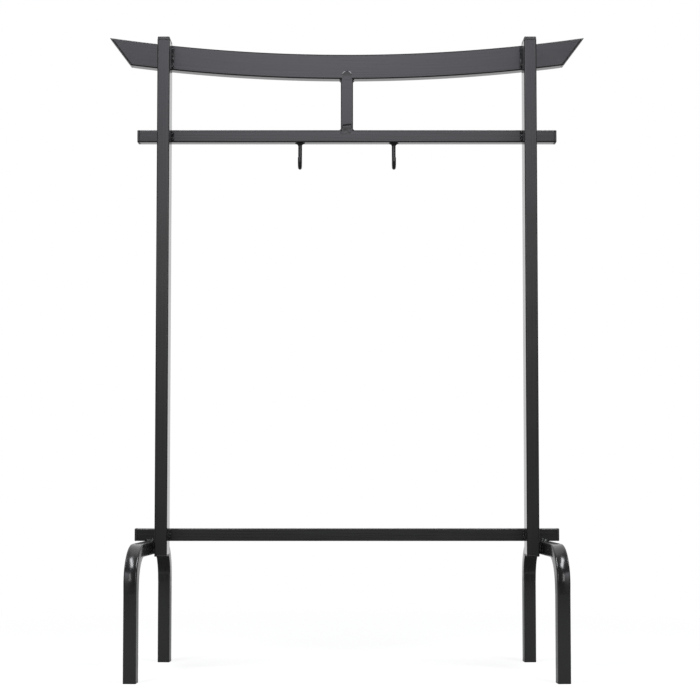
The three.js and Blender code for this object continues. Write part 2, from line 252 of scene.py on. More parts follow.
# %% [markdown]
# The large softbox is a graduated sheet behind the camera: it is dim at the floor, grows brighter and a
# little cooler upwards, and falls off to its sides. The posts mirror a higher part of it the higher they
# are, so they fade from grey at the top to near black at the foot. The grade is a curve over the height,
# computed in the lamp's own nodes.

# %% Graduated softbox
sheet_distance = 3.9
sheet_width = 3.4
sheet_top = 2.7
sheet_grade = (0.3, 0.39, 0.25)
sheet_side_loss = 0.38
sheet_centre = -0.04
cool_colour = (0.99, 0.965, 1.09)
cool_levels = (1.0, 2.3)

sheet = softbox("graduated_softbox", 1, (0, -sheet_distance, sheet_top / 2), (0, 0, sheet_top / 2),
                (sheet_width, sheet_top), 1.0, (1, 1, 1))
tree = empty_tree(sheet)
place = add_node(tree, "ShaderNodeNewGeometry").outputs["Position"]
on_sheet = add_node(tree, "ShaderNodeSeparateXYZ", {0: place}).outputs
steepening = calculate(tree, "MULTIPLY_ADD", on_sheet["Z"], sheet_grade[2], sheet_grade[1])
grade = calculate(tree, "MULTIPLY_ADD", on_sheet["Z"], steepening, sheet_grade[0])
off_centre = calculate(tree, "SUBTRACT", on_sheet["X"], sheet_centre)
aside = calculate(tree, "MULTIPLY", off_centre, off_centre)
kept = calculate(tree, "MULTIPLY_ADD", aside, -sheet_side_loss, 1.0, clamp=True)
strength = calculate(tree, "MULTIPLY", grade, kept)
cooler = tint(tree, WHITE[:3], cool_colour, remap(tree, on_sheet["Z"], *cool_levels))
sheet_light = add_node(tree, "ShaderNodeEmission", {"Color": cooler, "Strength": strength})
add_node(tree, "ShaderNodeOutputLight", {"Surface": sheet_light.outputs[0]})
print("sheet nodes:", len(tree.nodes))

# %% [markdown]
# The floor is a plain pale disc. For the camera it is almost white and keeps the soft shadow of the
# stand. Towards its rim it turns into the white of the world, so that no edge shows from any side. Seen
# in the coat it stays dark, except at a flat angle, where a real floor shines: the legs get their grey
# from that.

# %% Floor
floor_radius = 2.6
floor_sides = 96
floor_colour = (0.2, 0.2, 0.2, 1)
floor_glow = 0.82
floor_fade = (0.75, 1.6)
floor_mirror_shares = (0.7, 0.92)
floor_mirror_glow_share = 0.42

floor_mesh = bpy.data.meshes.new("floor")
floor_rim = [math.tau * i / floor_sides for i in range(floor_sides)]
floor_points = [(floor_radius * math.cos(a), floor_radius * math.sin(a), 0) for a in floor_rim]
floor_mesh.from_pydata(floor_points, [], [tuple(range(floor_sides))])
floor = place_object("floor", floor_mesh)

floor_material = bpy.data.materials.new("pale_floor")
tree = empty_tree(floor_material)
rays = add_node(tree, "ShaderNodeLightPath").outputs
length = add_node(tree, "ShaderNodeVectorMath", {0: own_place(tree)}, operation="LENGTH")
rim = remap(tree, length.outputs["Value"], *floor_fade)
seen = calculate(tree, "ADD", rays["Is Camera Ray"], rays["Is Transmission Ray"], clamp=True)
flat_view = remap(tree, add_node(tree, "ShaderNodeLayerWeight").outputs["Facing"], *floor_mirror_shares)
mirrored = calculate(tree, "MULTIPLY", rays["Is Glossy Ray"], flat_view)
shown = calculate(tree, "MULTIPLY_ADD", mirrored, floor_mirror_glow_share, seen)
strength = calculate(tree, "MULTIPLY", shown, floor_glow)
lit = add_node(tree, "ShaderNodeBsdfDiffuse", {"Color": floor_colour}).outputs[0]
glow = add_node(tree, "ShaderNodeEmission", {"Color": WHITE, "Strength": strength}).outputs[0]
both = add_node(tree, "ShaderNodeAddShader", {0: lit, 1: glow}).outputs[0]
rim_white = add_node(tree, "ShaderNodeEmission", {"Color": WHITE, "Strength": 1.0}).outputs[0]
faded = calculate(tree, "MULTIPLY", seen, rim)
fade = add_node(tree, "ShaderNodeMixShader", {0: faded, 1: both, 2: rim_white})
add_node(tree, "ShaderNodeOutputMaterial", {"Surface": fade.outputs[0]})
floor_mesh.materials.append(floor_material)
print("floor radius in m:", floor_radius)

# %% [markdown]
# Powder is sprayed on dry and melts into a skin. It never lies quite flat: the skin has a fine ripple,
# like the peel of an orange, and its gloss drifts a little from place to place. All the coated pieces
# share this, so it is a group. It gives out a height for the bump, and a slow drift for the roughness
# and colour.

# %% Group: orange peel
grain_fineness = 4.0
drift_per_metre = 11.0
drift_levels = (0.3, 0.7)

tree, given = start_group("orange_peel", {"Ripples per metre": 420.0, "Grain share": 0.3})
place = own_place(tree)
ripples = texture_noise(tree, place, given["Ripples per metre"], detail=1.0)
grain_scale = calculate(tree, "MULTIPLY", given["Ripples per metre"], grain_fineness)
grain = texture_noise(tree, place, grain_scale, detail=1.0)
height = calculate(tree, "MULTIPLY_ADD", grain, given["Grain share"], ripples)
drift = remap(tree, texture_noise(tree, place, drift_per_metre, detail=4.0), *drift_levels)
orange_peel = finish_group(tree, {"Height": height, "Drift": drift})

# %% [markdown]
# Square tube is drawn and rolled lengthwise, and that leaves faint straight lines under the coat. The
# tube meshes carry a place named drawn: where a point lies on the section, and, pressed together, where it
# lies along the piece. Noise over that place comes out as long thin streaks that follow every bend.

# %% Group: drawing lines
tree, given = start_group("drawing_lines", {"Place": (0, 0, 0), "Lines per metre": 260.0})
lines = texture_noise(tree, given["Place"], given["Lines per metre"], detail=1.0)
drawing_lines = finish_group(tree, {"Height": lines})

# %% [markdown]
# Melted powder draws back from sharp corners, so the coat is thinner there, a little smoother and a
# trace paler where hands have rubbed it. The tube meshes carry a value named edge, which is 1 on a
# rounded corner and 0 on a flat. The group turns that value into broken patches.

# %% Group: rubbed edges
rubs_per_metre = 46.0
rub_levels = (0.46, 0.68)

tree, given = start_group("rubbed_edges", {"Edge": 0.0, "Amount": 0.5})
broken = remap(tree, texture_noise(tree, own_place(tree), rubs_per_metre, detail=5.0), *rub_levels)
rubbed = calculate(tree, "MULTIPLY", given["Edge"], broken)
rubbed = calculate(tree, "MULTIPLY", rubbed, given["Amount"], clamp=True)
rubbed_edges = finish_group(tree, {"Mask": rubbed})

# %% [markdown]
# A black stand shows dust first of all, but only on what faces up. The group reads how far the surface
# faces up, breaks that with noise, and gives a thin mask that dulls the coat and greys it a little.

# %% Group: settled dust
upward_levels = (0.35, 0.95)
specks_per_metre = 900.0
speck_levels = (0.4, 0.75, 0.35, 1.0)
clouds_per_metre = 26.0
cloud_levels = (0.3, 0.75, 0.25, 1.0)

tree, given = start_group("settled_dust", {"Amount": 0.3})
place = own_place(tree)
normal = add_node(tree, "ShaderNodeNewGeometry").outputs["Normal"]
upward = remap(tree, add_node(tree, "ShaderNodeSeparateXYZ", {0: normal}).outputs["Z"], *upward_levels)
specks = remap(tree, texture_noise(tree, place, specks_per_metre, detail=3.0), *speck_levels)
clouds = remap(tree, texture_noise(tree, place, clouds_per_metre, detail=4.0), *cloud_levels)
dusty = calculate(tree, "MULTIPLY", upward, calculate(tree, "MULTIPLY", specks, clouds))
dusty = calculate(tree, "MULTIPLY", dusty, given["Amount"], clamp=True)
settled_dust = finish_group(tree, {"Mask": dusty})

# %% [markdown]
# Where the strut meets the beam and the bar, the front was ground flush before coating. Grinding leaves
# a shallow dish and a patch of uneven metal that the powder doesn't hide. This group gives such a patch
# as a height, inside an egg-shaped reach round a centre.

# %% Group: ground patch
patch_rim = (0.55, 1.0)
scars_per_metre = 130.0
dish_share = 0.9

tree, given = start_group("ground_patch", {"Centre": (0, 0, 0), "Reach": (1, 1, 1)})
place = own_place(tree)
away = add_node(tree, "ShaderNodeVectorMath", {0: place, 1: given["Centre"]}, operation="SUBTRACT")
away = add_node(tree, "ShaderNodeVectorMath", {0: away.outputs[0], 1: given["Reach"]}, operation="DIVIDE")
how_far = add_node(tree, "ShaderNodeVectorMath", {0: away.outputs[0]}, operation="LENGTH")
patch = remap(tree, how_far.outputs["Value"], *patch_rim, 1.0, 0.0)
uneven = calculate(tree, "SUBTRACT", texture_noise(tree, place, scars_per_metre, detail=3.0), dish_share)
ground_patch = finish_group(tree, {"Height": calculate(tree, "MULTIPLY", patch, uneven)})

# %% [markdown]
# The coats are Principled shaders. Black powder is a dielectric: nearly all that it shows is a weak
# mirror image, so its roughness matters more than its colour. The groups above feed colour, roughness
# and bump, and every value that is the same all over sits on the shader itself.

# %% Helpers for materials
rubbed_colour = (0.03, 0.03, 0.031)
rub_amount = 0.55
rub_polish = 0.05
dust_colour = (0.16, 0.155, 0.15)
dust_amount = 0.3
dust_dulling = 0.35
paler_share = 1.25
gloss_drift = 0.04
ground_depth = 0.08 * MM


def start_material(name):
    """A material with one Principled shader. Returns the material, its tree and the shader."""
    material = bpy.data.materials.new(name)
    tree = empty_tree(material)
    shader = add_node(tree, "ShaderNodeBsdfPrincipled")
    add_node(tree, "ShaderNodeOutputMaterial", {"Surface": shader.outputs["BSDF"]})
    return material, tree, shader


def finish_material(tree, shader, colour, gloss, height, depth):
    """Feeds the shader. Depth is the height of the relief in metres."""
    relief = add_node(tree, "ShaderNodeBump", {"Height": height, "Strength": 1.0, "Distance": depth})
    feed(tree, shader, {"Base Color": colour, "Roughness": gloss, "Normal": relief.outputs["Normal"]})


def coat_material(name, colour, roughness, peel_depth, ripples, line_depth=0.0, patches=()):
    """Black powder coat: orange peel, drifting gloss, rubbed corners and dust, and where they are asked
    for, drawing lines and ground patches."""
    material, tree, shader = start_material(name)
    peel = use_group(tree, orange_peel, {"Ripples per metre": ripples})
    edge = add_node(tree, "ShaderNodeAttribute", attribute_name="edge").outputs["Fac"]
    rubbed = use_group(tree, rubbed_edges, {"Edge": edge, "Amount": rub_amount})["Mask"]
    dust = use_group(tree, settled_dust, {"Amount": dust_amount})["Mask"]
    base = tint(tree, colour, [share * paler_share for share in colour], peel["Drift"])
    base = tint(tree, base, rubbed_colour, rubbed)
    base = tint(tree, base, dust_colour, dust)
    gloss = calculate(tree, "MULTIPLY_ADD", peel["Drift"], gloss_drift, roughness - gloss_drift / 2)
    gloss = calculate(tree, "MULTIPLY_ADD", rubbed, -rub_polish, gloss)
    gloss = calculate(tree, "MULTIPLY_ADD", dust, dust_dulling, gloss, clamp=True)
    relief = peel["Height"]
    if line_depth:
        drawn = add_node(tree, "ShaderNodeAttribute", attribute_name="drawn").outputs["Vector"]
        lines = use_group(tree, drawing_lines, {"Place": drawn})["Height"]
        relief = calculate(tree, "MULTIPLY_ADD", lines, line_depth / peel_depth, relief)
    for centre, reach in patches:
        ground = use_group(tree, ground_patch, {"Centre": centre, "Reach": reach})["Height"]
        relief = calculate(tree, "MULTIPLY_ADD", ground, ground_depth / peel_depth, relief)
    finish_material(tree, shader, base, gloss, relief, peel_depth)
    print(name, "nodes:", len(tree.nodes))
    return material


# %% [markdown]
# The tubes take the powder coat with the two ground patches of the strut's joints. Their places come
# from the box of the strut, so they follow the frame. The straight tubes show their drawing lines. On the
# legs the bending die has smoothed them away, so the legs have a finish of their own.

# %% Materials: powder coat on the tubes and on the legs
coat_colour = (0.0105, 0.0105, 0.0108)
coat_ripples = 420.0
strut_low, strut_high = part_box("centre_strut")
patch_y = strut_low.y
patches = [
    ((0, patch_y, strut_high.z + 5 * MM), (13 * MM, 6 * MM, 12 * MM)),
    ((0, patch_y, strut_low.z + 2 * MM), (24 * MM, 6 * MM, 15 * MM)),
]
powder_coat = coat_material("powder_coat", coat_colour, roughness=0.13, peel_depth=0.003 * MM,
                            ripples=coat_ripples, line_depth=0.12 * MM, patches=patches)
leg_coat = coat_material("leg_coat", coat_colour, roughness=0.17, peel_depth=0.002 * MM,
                         ripples=coat_ripples, line_depth=0.006 * MM)

# %% [markdown]
# The rod of the hooks and the welds have the same powder, but it lies thicker and smoother over them.
# The welds get a coarser skin, because slag and ripples show through the coat. Their colour is darker
# than the coat's: that is painted shade, for the corners and the underside of the bar where they sit.

# %% Materials: coated rod and coated weld
coated_rod = coat_material("coated_rod", colour=(0.0095, 0.0095, 0.0105), roughness=0.24,
                           peel_depth=0.006 * MM, ripples=480.0)
# Painted shade: the weld colour is darker than the coat's and stands in for the shade in the corners and
# under the bar.
coated_weld = coat_material("coated_weld", colour=(0.005, 0.005, 0.0055), roughness=0.27,
                            peel_depth=0.12 * MM, ripples=900.0)

# %% [markdown]
# The caps and plugs are moulded polyethylene. It is blacker than the coat and duller, with the fine
# spark-eroded grain of the mould, so its bump is a sharp-pointed cell pattern and not a ripple.

# %% Material: moulded plastic
plastic_colour = (0.0055, 0.0055, 0.006)
plastic_paler_share = 1.4
plastic_gloss = (0.38, 0.46)
plastic_dust_amount = 0.35
cells_per_metre = 1500.0
cell_depth = 0.02 * MM
flow_per_metre = 60.0

plastic_plug, tree, shader = start_material("plastic_plug")
place = own_place(tree)
cells = add_node(tree, "ShaderNodeTexVoronoi", {"Vector": place, "Scale": cells_per_metre},
                 feature="SMOOTH_F1")
flow = texture_noise(tree, place, flow_per_metre, detail=3.0)
dust = use_group(tree, settled_dust, {"Amount": plastic_dust_amount})["Mask"]
base = tint(tree, plastic_colour, [share * plastic_paler_share for share in plastic_colour], flow)
base = tint(tree, base, dust_colour, dust)
gloss = remap(tree, flow, *drift_levels, *plastic_gloss)
gloss = calculate(tree, "MULTIPLY_ADD", dust, dust_dulling, gloss, clamp=True)
finish_material(tree, shader, base, gloss, cells.outputs["Distance"], cell_depth)
print("plastic_plug nodes:", len(tree.nodes))

# %% [markdown]
# Nearly every piece of the stand is a rounded rectangle that was drawn, cut, bent or moulded. So all of
# them are made from rings: an outline is placed again and again along the piece, and the rings are
# joined with a skin of four-sided faces. A modifier that weights normals by area keeps the flats flat
# and lets only the corners shade round.

# %% Helpers for outlines
corner_radius = 2.5 * MM
wall_thickness = 1.5 * MM
least_radius = 0.3 * MM
corner_steps = 5


def rounded_outline(width, height, inset=0, flat_steps=1):
    """Points round a tube's section, anticlockwise, some way inside it, with its flats split into steps."""
    radius = max(corner_radius - inset, least_radius)
    x = width / 2 - inset - radius
    y = height / 2 - inset - radius
    centres = [(x, y), (-x, y), (-x, -y), (x, -y)]
    points = []
    for turn, centre in enumerate(centres):
        for i in range(corner_steps + 1):
            angle = math.pi / 2 * (turn + i / corner_steps)
            spoke = Vector((math.cos(angle), math.sin(angle))) * radius
            points.append(Vector(centre) + spoke)
        flat_start = points[-1]
        flat_end = Vector(centres[(turn + 1) % 4]) + spoke
        for i in range(1, flat_steps):
            points.append(flat_start.lerp(flat_end, i / flat_steps))
    return points


def edge_values(point_count):
    """For each point of a rounded outline, 1 halfway round a corner, falling to 0 on the flats."""
    corner = [math.sin(math.pi * i / corner_steps) for i in range(corner_steps + 1)]
    return (corner + [0.0] * (point_count // 4 - len(corner))) * 4


# %% Helpers for skins
crease_angle = math.radians(40)
line_press_share = 0.03


def skin_faces(ring_count, point_count, closed):
    """Faces between neighbouring rings. A closed skin joins the last ring to the first one."""
    faces = []
    for ring in range(ring_count if closed else ring_count - 1):
        low = ring * point_count
        high = (ring + 1) % ring_count * point_count
        for i in range(point_count):
            j = (i + 1) % point_count
            faces.append((low + i, low + j, high + j, high + i))
    if not closed:
        faces.append(tuple(reversed(range(point_count))))
        last = (ring_count - 1) * point_count
        faces.append(tuple(range(last, last + point_count)))
    return faces


def drawn_places(rings):
    """For each point its place on the widest ring's section, and its run along the piece, pressed short."""
    widest = max(rings, key=lambda ring: max((point - ring[0]).length for point in ring))
    section_centre = sum(widest, Vector()) / len(widest)
    first = (widest[0] - section_centre).normalized()
    turned = widest[len(widest) // 4] - section_centre
    second = (turned - first * turned.dot(first)).normalized()
    section = [((p - section_centre).dot(first), (p - section_centre).dot(second)) for p in widest]
    centres = [sum(ring, Vector()) / len(ring) for ring in rings]
    run = 0.0
    values = []
    for last, centre in zip([centres[0], *centres], centres):
        run += (centre - last).length
        for u, v in section:
            values += [u, v, run * line_press_share]
    return values


def make_piece(name, rings, material, node=None, closed=False, drawn=False, even=True):
    """A mesh object from rings of points, shaded, dressed and fixed to the frame. Drawn tube carries the
    places and edge values that its coat reads."""
    mesh = bpy.data.meshes.new(name)
    points = [tuple(point) for ring in rings for point in ring]
    mesh.from_pydata(points, [], skin_faces(len(rings), len(rings[0]), closed))
    mesh.shade_smooth()
    mesh.set_sharp_from_angle(angle=crease_angle)
    if drawn:
        values = mesh.attributes.new("edge", "FLOAT", "POINT")
        values.data.foreach_set("value", edge_values(len(rings[0])) * len(rings))
        places = mesh.attributes.new("drawn", "FLOAT_VECTOR", "POINT")
        places.data.foreach_set("vector", drawn_places(rings))
    mesh.materials.append(material)
    piece = place_object(name, mesh)
    if even:
        modifier = piece.modifiers.new("even_flats", "WEIGHTED_NORMAL")
        modifier.keep_sharp = True
    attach(piece, "root")
    if node:
        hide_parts(node)


# %% [markdown]
# A lathe turns a profile round an axis. The helper below does the same for a rounded rectangle: each
# point of the profile is an inset from the outer face and a level along the axis, and gives one ring. A
# rolled edge is a quarter circle in such a profile. A matrix, whose columns are the piece's own three
# directions, then lays the rings along any axis.

# %% Helpers for straight pieces
X_AXIS = Vector((1, 0, 0))
Y_AXIS = Vector((0, 1, 0))
Z_AXIS = Vector((0, 0, 1))


def rolled_edge(radius, level, steps, upward=True):
    """Profile points of a rounded edge, from the side wall over to the face at this level."""
    way = 1 if upward else -1
    angles = [math.pi / 2 * i / steps for i in range(steps + 1)]
    return [(radius * (1 - math.cos(a)), level - way * radius * (1 - math.sin(a))) for a in angles]


def boxed_rings(profile, section, origin, across, axis):
    """One ring for each inset and level of a profile, round a section of a width across and a height."""
    turned = Matrix((across, axis.cross(across), axis)).transposed().to_4x4()
    matrix = Matrix.Translation(origin) @ turned
    return [[matrix @ Vector((*point, level)) for point in rounded_outline(*section, inset)]
            for inset, level in profile]


def measure(node):
    """The middle and the size of a node's box."""
    low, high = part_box(node)
    return (low + high) / 2, high - low


def section_size(size, across, axis):
    """Width and height of a box's section, square to an axis."""
    return abs(size.dot(across)), abs(size.dot(axis.cross(across)))


# %% [markdown]
# Straight tubes: two posts, two bars and the strut. Each is cut from stock and deburred, so the rim of
# the cut has a small rounding. Against the plug this makes the thin dark joint line that the real stand
# shows. The tubes are hollow, as the real ones are.

# %% Straight tubes
rim_radius = 0.6 * MM
rim_steps = 2


def straight_tube(node, across, axis):
    """A hollow tube that fills the box of its node, along one of the world's axes."""
    centre, size = measure(node)
    length = abs(size.dot(axis))
    profile = rolled_edge(rim_radius, 0, rim_steps, upward=False)[::-1]
    profile += rolled_edge(rim_radius, length, rim_steps)
    profile += [(wall_thickness, length), (wall_thickness, 0)]
    start = centre - axis * length / 2
    rings = boxed_rings(profile, section_size(size, across, axis), start, across, axis)
    make_piece(f"{node}_tube", rings, powder_coat, node, closed=True, drawn=True)
    print(node, "length in mm:", round(length / MM, 1))


for node in ("left_post", "right_post", "centre_strut"):
    straight_tube(node, X_AXIS, Z_AXIS)
for node in ("hanging_bar", "lower_bar"):
    straight_tube(node, Y_AXIS, X_AXIS)

# %% [markdown]
# Caps and plugs are one moulding each: a flange that closes the end of the tube, and a hollow spigot
# whose ribs grip the bore. One profile describes both. It starts in the hollow, runs round the ribs,
# passes under the flange and ends on top, over a rolled edge. On the post caps that edge is generous, and
# the side of the flange slopes in above a low ledge, which catches a line of light.

# %% Caps and plugs: their profile
spigot_length = 20 * MM
spigot_wall = 1.6 * MM
rib_depth = 1.8 * MM
rib_thickness = 1.4 * MM
rib_count = 3
fit_gap = 0.3 * MM
parting_edge = 0.6 * MM
ledge_level = 0.9 * MM
ledge_height = 1.6 * MM
ledge_inset = 0.45 * MM
cap_edge = 2.5 * MM
plug_edge = 1.2 * MM
flange_steps = 6


def plug_profile(thickness, ledged=False):
    """Insets and levels from the ceiling of the hollow spigot to the top of the flange."""
    rib = wall_thickness + fit_gap
    core = rib + rib_depth
    hollow = core + spigot_wall
    profile = [(hollow, 0), (hollow, -spigot_length), (core, -spigot_length)]
    for i in range(rib_count, 0, -1):
        middle_level = -i * spigot_length / (rib_count + 1)
        lower = middle_level - rib_thickness / 2
        upper = middle_level + rib_thickness / 2
        profile += [(core, lower), (rib, lower), (rib, upper), (core, upper)]
    profile += [(core, 0), *rolled_edge(parting_edge, 0, rim_steps, upward=False)[::-1]]
    if not ledged:
        return profile + rolled_edge(plug_edge, thickness, flange_steps)
    profile += [(0, ledge_level), (ledge_inset, ledge_level + ledge_height)]
    rounded = rolled_edge(cap_edge - ledge_inset, thickness, flange_steps)
    return profile + [(ledge_inset + inset, level) for inset, level in rounded]


# %% Caps and plugs: on the posts and the bars
def outermost(node, axis):
    """How far a node's box reaches along an axis."""
    return max(corner.dot(axis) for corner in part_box(node))


def plug(name, node, tube, across, axis, ledged=False):
    """A plug on the end of a tube, along the axis that points out of it. Its flange ends where its node
    ends."""
    centre, size = measure(tube)
    tube_end = outermost(tube, axis)
    thickness = outermost(node, axis) - tube_end
    seat = centre + axis * (tube_end - centre.dot(axis))
    section = section_size(size, across, axis)
    rings = boxed_rings(plug_profile(thickness, ledged), section, seat, across, axis)
    make_piece(name, rings, plastic_plug, node)
    print(name, "thickness in mm:", round(thickness / MM, 1))


for side, sign in SIDES:
    post = f"{side}_post"
    plug(f"{post}_top_cap", f"{post}_cap", post, X_AXIS, Z_AXIS, ledged=True)
    plug(f"{post}_foot_cap", f"{post}_base_plug", post, X_AXIS, -Z_AXIS)
    for bar in ("hanging_bar", "lower_bar"):
        plug(f"{bar}_{side}_end_plug", f"{bar}_{side}_plug", bar, Y_AXIS, X_AXIS * sign)

# %% [markdown]
# The curved beam is a rectangular tube rolled to an arc, with both ends cut on a slant. A boolean cut
# would leave ragged faces at the slant. Instead, each line of points along the beam is taken as an arc
# of its own radius, and the angle where that arc meets the slanted plane is worked out. The rings then
# spread evenly between the two ends, and the mesh stays a clean grid. The slanted plane is read from the
# largest face of the end plate in the frame.

# %% Curved beam: its arc and its slanted ends
beam_height = 50 * MM
end_face_facing = 0.5
plate_name = "curved_beam_right_end_plate"
beam_middle, beam_size = measure("curved_beam")
beam_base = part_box("curved_beam")[0].z
plate_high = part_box(plate_name)[1]
outer_faces = [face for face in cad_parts[plate_name].data.polygons if face.normal.x > end_face_facing]
slant_face = max(outer_faces, key=lambda face: face.area)
slant_normal = slant_face.normal.copy()
slant_level = slant_normal.dot(slant_face.center)
beam_rise = plate_high.z - beam_base - beam_height
upper_radius = (plate_high.x ** 2 + beam_rise ** 2) / (2 * beam_rise)
arc_height = beam_base + beam_height + upper_radius
middle_radius = upper_radius + beam_height / 2


def end_angle(radius, set_back):
    """Angle on an arc of this radius where it meets the slanted plane, moved inwards by set_back."""
    level = slant_level - set_back - slant_normal.z * arc_height
    phase = math.atan2(-slant_normal.z, slant_normal.x)
    reach = radius * math.hypot(slant_normal.x, slant_normal.z)
    return math.asin(level / reach) - phase


def beam_ring(inset, share, set_back):
    """A ring of the beam: share is -1 at the left end and 1 at the right end."""
    ring = []
    for point in rounded_outline(beam_size.y, beam_height, inset):
        radius = middle_radius - point.y
        angle = share * end_angle(radius, set_back)
        x = radius * math.sin(angle)
        z = arc_height - radius * math.cos(angle)
        ring.append(Vector((x, beam_middle.y + point.x, z)))
    return ring


print("beam arc radius in mm:", round(upper_radius / MM), "slant:", [round(n, 3) for n in slant_normal])

# %% Curved beam: tube and end plates
beam_steps = 72
plate_thickness = 3 * MM
plate_edge = 1.5 * MM
plate_steps = 5
shares = [2 * i / beam_steps - 1 for i in range(beam_steps + 1)]
tube_back = plate_thickness + fit_gap
rings = [beam_ring(rim_radius, -1, tube_back)]
rings += [beam_ring(0, share, tube_back + rim_radius) for share in shares]
rings += [beam_ring(rim_radius, 1, tube_back), beam_ring(wall_thickness, 1, tube_back)]
rings += [beam_ring(wall_thickness, share, tube_back + rim_radius) for share in reversed(shares)]
rings += [beam_ring(wall_thickness, -1, tube_back)]
make_piece("curved_beam_tube", rings, powder_coat, "curved_beam", closed=True, drawn=True)

plate_profile = rolled_edge(rim_radius, plate_thickness, rim_steps)[::-1]
plate_profile += rolled_edge(plate_edge, 0, plate_steps, upward=False)
for side, sign in SIDES:
    rings = [beam_ring(inset, sign, level) for inset, level in plate_profile]
    node = f"curved_beam_{side}_end_plate"
    make_piece(f"{node}_ground", rings[::sign], powder_coat, node, drawn=True)
print("beam rings:", beam_steps + 1)

# %% [markdown]
# Each leg is one square tube, bent over a die into an arch. A square tube can't bend cleanly: its outer
# wall is drawn in, its inner wall folds into a low ridge, and its sides bulge. The change starts a little
# before the bend and dies out after it. That is what makes the streaks of light on the bends, so the
# ring changes its shape as it goes round, which one outline swept along a curve couldn't do.

# %% Legs: their section
bend_sink = 1.7 * MM
inner_fold = 0.45 * MM
side_spread = 1.0 * MM
spread_level = -0.3
spread_loss = 0.5
flat_steps = 12
tube_size = measure("centre_strut")[1].x
flat_half = tube_size / 2 - corner_radius


def leg_section(inset, bending):
    """Outline of the leg, first number across and second outwards, changed as far as it is bent."""
    half_size = tube_size / 2 - inset
    section = rounded_outline(tube_size, tube_size, inset, flat_steps)
    for point in section:
        across = min(abs(point.x) / flat_half, 1)
        spread = side_spread * bending * (1 - spread_loss * (point.y / half_size - spread_level) ** 2)
        point.x += math.copysign(spread * across, point.x)
        if point.y > half_size - least_radius:
            point.y -= bend_sink * bending * (1 - across ** 2)
        elif point.y < least_radius - half_size:
            point.y -= inner_fold * bending * (math.cos(math.tau * across) - 1) / 2
    return section


print("points round a leg:", len(leg_section(0, 0)))

# %% [markdown]
# The path of a leg is given in the leg's own plane, which turns a little outwards, and the two feet in
# the frame say where that plane lies. Each half of the path has a straight foot, a bend and a short run
# on the level, with rings close together wherever the section changes. A run along the path gives the
# turn so far, and the turn gives the place.

# %% Legs: their path
leg_bend = 62 * MM
bend_run = math.pi / 2 * leg_bend
bend_steps = 32
dip_run = 17 * MM
dip_steps = 8
dip_fullness = 0.8


def how_bent(run):
    """How far the section has changed: 0 where the dip begins and ends, and 1 through the bend's middle."""
    return math.sin(math.pi * run / (bend_run + 2 * dip_run)) ** dip_fullness


def leg_stations(front, rear, foot_level, top_level):
    """Places along the leg: centre, outward direction and how far it is bent there."""
    runs = [dip_run * i / dip_steps for i in range(dip_steps)]
    runs += [dip_run + bend_run * i / bend_steps for i in range(bend_steps)]
    runs += [dip_run + bend_run + run for run in [*runs[:dip_steps], dip_run]]
    stations = []
    for foot, other in ((front, rear), (rear, front)):
        forth = (foot - other).normalized()
        bend_centre = foot - forth * leg_bend + Z_AXIS * (top_level - leg_bend)
        half = [(foot + Z_AXIS * foot_level, forth, 0.0)]
        for run in runs:
            turn = min(max(run - dip_run, 0), bend_run)
            cosine, sine = math.cos(turn / leg_bend), math.sin(turn / leg_bend)
            outward = forth * cosine + Z_AXIS * sine
            onward = Z_AXIS * cosine - forth * sine
            place = bend_centre + outward * leg_bend + onward * (run - dip_run - turn)
            half.append((place, outward, how_bent(run)))
        stations += half if foot is front else half[::-1]
    return stations


def leg_ring(station, across, inset):
    """One ring of the leg, square to its path."""
    place, outward, bending = station
    return [place + across * p.x + outward * p.y for p in leg_section(inset, bending)]


# %% Legs: tubes and foot plugs
for side, sign in SIDES:
    leg_low, leg_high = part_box(f"{side}_leg")
    feet = {end: measure(f"{side}_{end}_foot")[0] for end in ("front", "rear")}
    for foot in feet.values():
        foot.z = 0
    across = (feet["front"] - feet["rear"]).normalized().cross(Z_AXIS)
    stations = leg_stations(feet["front"], feet["rear"], leg_low.z, leg_high.z - tube_size / 2)
    rings = [leg_ring(station, across, 0) for station in stations]
    rings += [leg_ring(station, across, wall_thickness) for station in reversed(stations)]
    make_piece(f"{side}_leg_tube", rings, leg_coat, f"{side}_leg", closed=True, drawn=True)
    for end, foot in feet.items():
        seat = foot + Z_AXIS * leg_low.z
        rings = boxed_rings(plug_profile(leg_low.z), (tube_size, tube_size), seat, across, -Z_AXIS)
        make_piece(f"{side}_{end}_foot_plug", rings, plastic_plug, f"{side}_{end}_foot")
print("leg stations:", len(stations))

# %% [markdown]
# The hooks are round rod. The rod goes down from the bar, turns forwards in a half circle and stops with
# a short limb, whose cut end is slightly rounded. The sizes come from the node: its lowest point, its
# front face and the height of its tip. A circle is swept along that path.

# %% Hooks
rod_radius = 4 * MM
rod_sides = 28
cradle_steps = 28
tip_edge = 0.9 * MM
tip_steps = 4


def hook_root(side):
    """Where the rod of a hook meets the underside of the bar."""
    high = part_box(f"{side}_hook")[1]
    return Vector((measure(f"{side}_hook")[0].x, measure("hanging_bar")[0].y, high.z))


def round_ring(place, outward, radius):
    """A circle of points, square to the path."""
    angles = [math.tau * i / rod_sides for i in range(rod_sides)]
    return [place + (outward * math.sin(a) - X_AXIS * math.cos(a)) * radius for a in angles]


